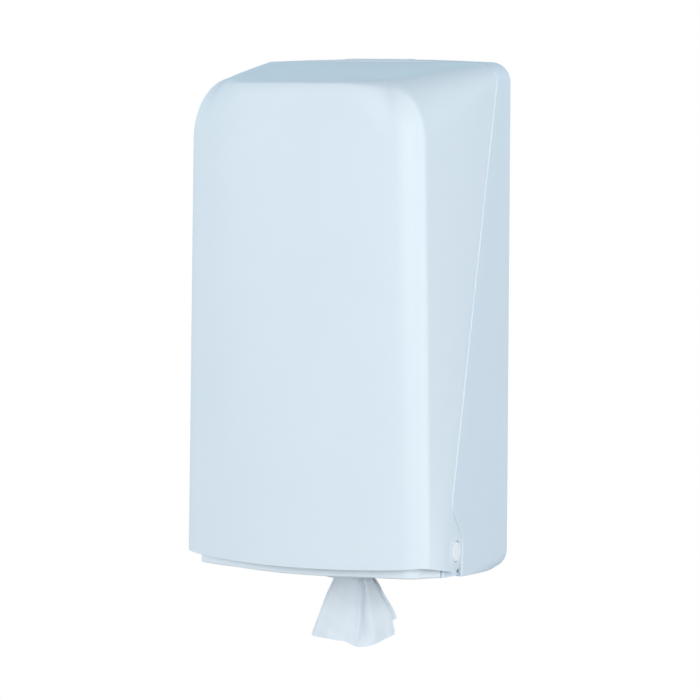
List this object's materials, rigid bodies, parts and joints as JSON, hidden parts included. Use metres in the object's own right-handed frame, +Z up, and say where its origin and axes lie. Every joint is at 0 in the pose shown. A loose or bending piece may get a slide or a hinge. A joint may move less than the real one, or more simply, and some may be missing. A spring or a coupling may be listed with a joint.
{
  "type": "centrefeed roll dispenser",
  "caption": "Wall-hung centrefeed paper dispenser: a bowed cover hinged low at its sides, a latch under the roof, and a swivelling nozzle that the gathered paper tail hangs from.",
  "frame": {"origin": "middle of the wall-fixing holes, on the wall plane", "axes": "+X to the right seen from the front, +Y into the wall, +Z up; the front faces -Y"},
  "size_m": [0.172, 0.171, 0.3771],
  "materials": {
    "case_abs": "satin",
    "cover_abs": "satin",
    "tray_abs": "satin",
    "acetal": "satin",
    "pin_acetal": "satin",
    "spring_steel": "satin",
    "zinc_steel": "satin",
    "nozzle_grey": "satin",
    "tissue": "matte"
  },
  "bodies": {
    "case": {"rear_case": "case_abs", "roll_tray": "tray_abs", "tray_screws": "zinc_steel", "hinge_pin_left": "pin_acetal", "hinge_pin_right": "pin_acetal", "hinge_clip_left": "spring_steel", "hinge_clip_right": "spring_steel", "latch_housing": "tray_abs", "latch_screws": "zinc_steel", "key_plate": "case_abs", "nozzle_ring": "tray_abs", "nozzle_ring_screws": "zinc_steel", "paper_roll": "tissue", "paper_tail": "tissue", "latch_spring": "spring_steel"},
    "cover": {"front_cover": "cover_abs", "hinge_bush_left": "acetal", "hinge_bush_right": "acetal", "cover_catch": "tray_abs", "catch_screws": "zinc_steel"},
    "latch": {"latch_bar": "acetal"},
    "nozzle": {"nozzle_cone": "nozzle_grey", "tear_ring": "nozzle_grey"}
  },
  "joints": [
    {"name": "cover_hinge", "type": "hinge", "parent": "case", "child": "cover", "pos_m": [0, -0.1028, -0.1388], "axis": [1, 0, 0], "range_deg": [0, 90]},
    {"name": "latch_press", "type": "slide", "parent": "case", "child": "latch", "axis": [0, 0, -1], "range_m": [0, 0.005], "stiffness_N_per_m": 600, "springref_m": -0.004, "deforming": ["latch_spring"]},
    {"name": "nozzle_swivel", "type": "hinge", "parent": "case", "child": "nozzle", "pos_m": [0, -0.07, -0.17], "axis": [0, 0, 1], "continuous": true}
  ]
}
